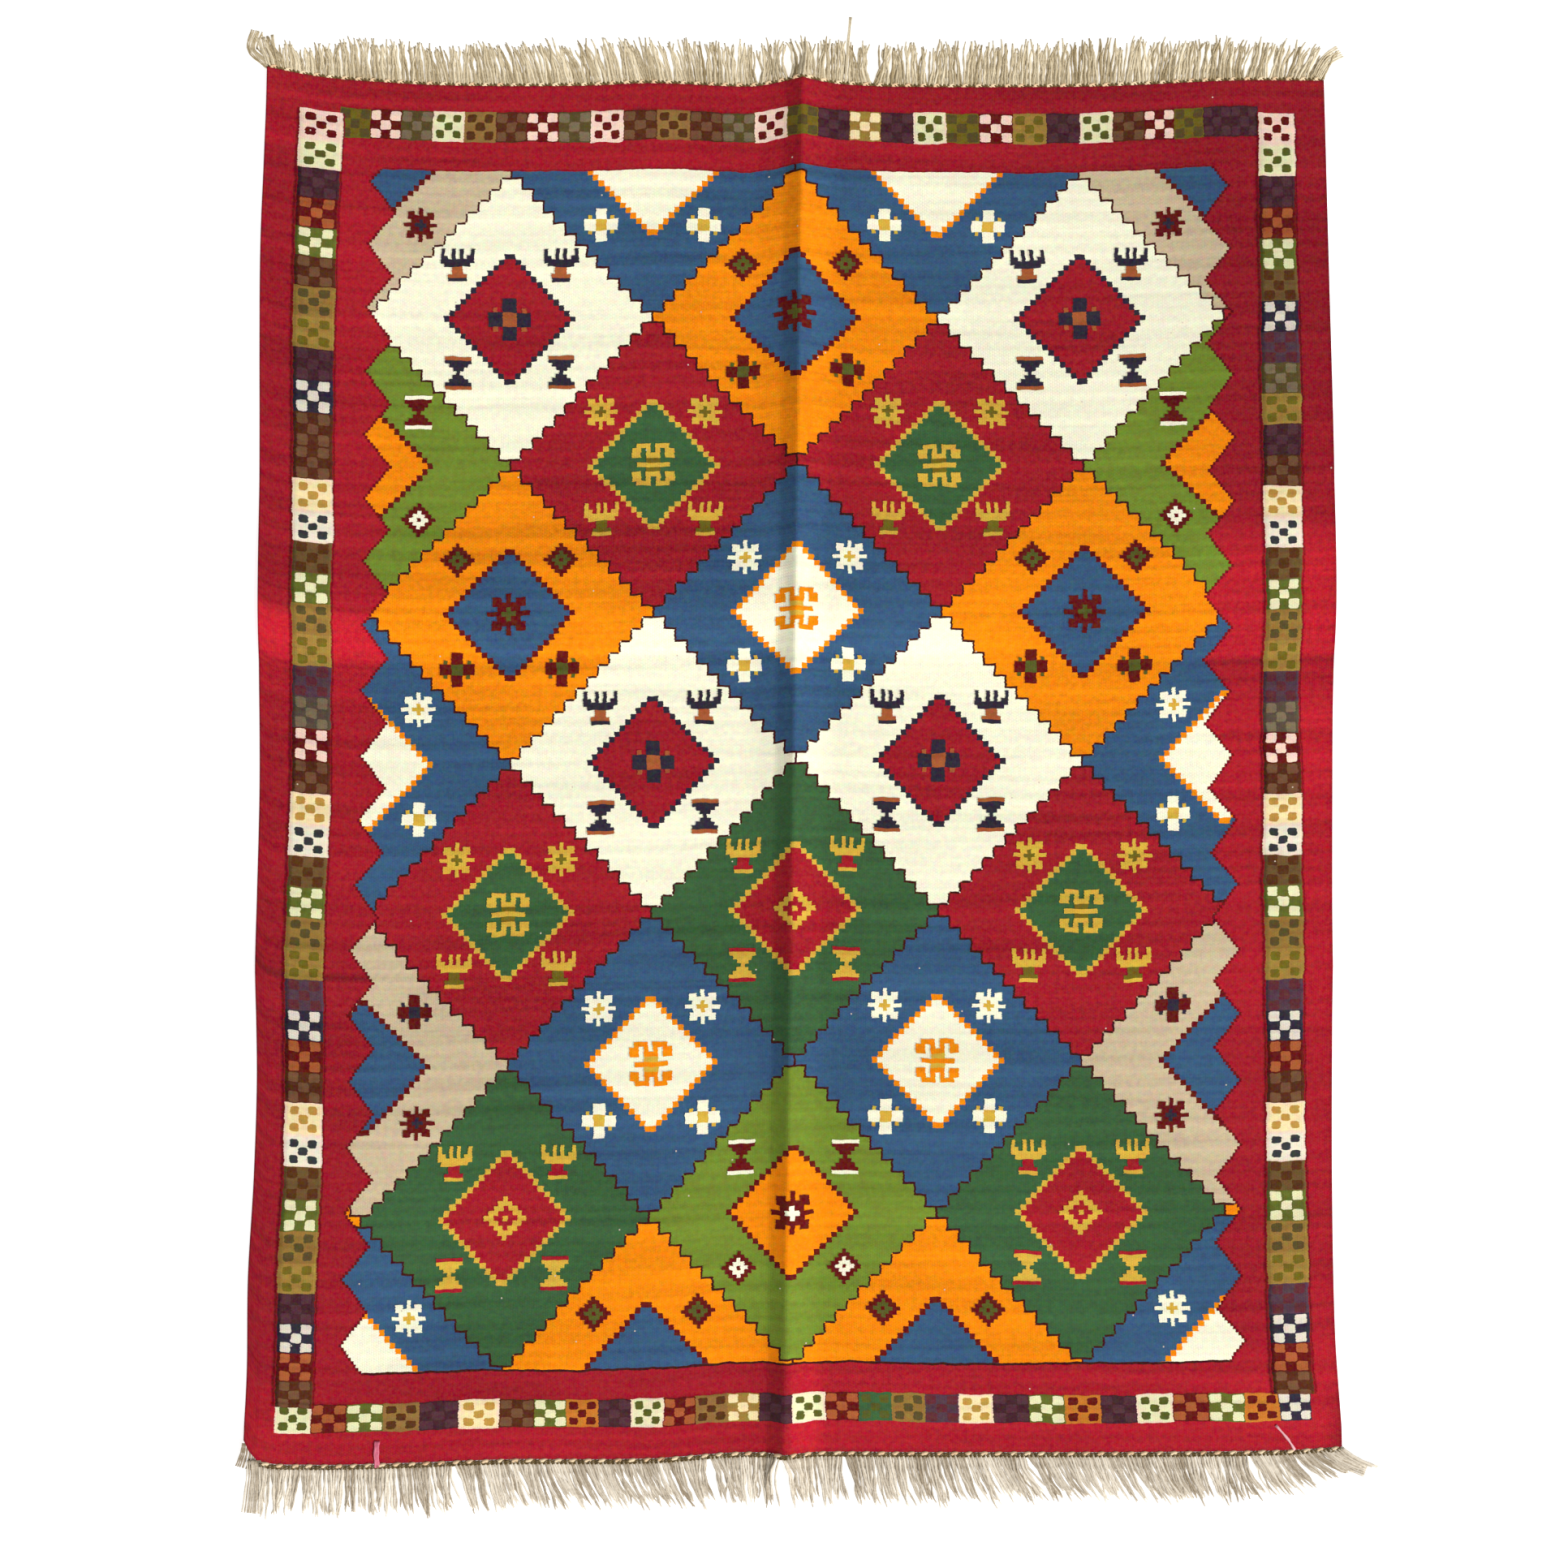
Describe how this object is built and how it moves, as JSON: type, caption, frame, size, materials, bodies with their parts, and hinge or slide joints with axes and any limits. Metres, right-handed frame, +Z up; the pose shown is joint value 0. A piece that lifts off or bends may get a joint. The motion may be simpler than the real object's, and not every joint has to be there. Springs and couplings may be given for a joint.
{
  "type": "kilim rug",
  "caption": "Flat-woven wool rug laid out flat, with a block border, a toothed lozenge field, soft fold ridges and a knotted cotton fringe at each end.",
  "frame": {"origin": "the middle of the underside of the whole rug, fringes included, on the surface that it lies on", "axes": "+X across the rug to its right side, +Y along its warps to its head end, +Z up"},
  "size_m": [1.2578, 1.6788, 0.0123],
  "materials": {
    "kilim_wool": "matt weft-faced wool flatweave, crimson ground with a many-coloured field and border",
    "fringe_cotton": "matt undyed cotton warp ends, knotted and left loose"
  },
  "bodies": {
    "root": {"kilim": "kilim_wool", "fringe_head": "fringe_cotton", "fringe_foot": "fringe_cotton"}
  },
  "joints": []
}
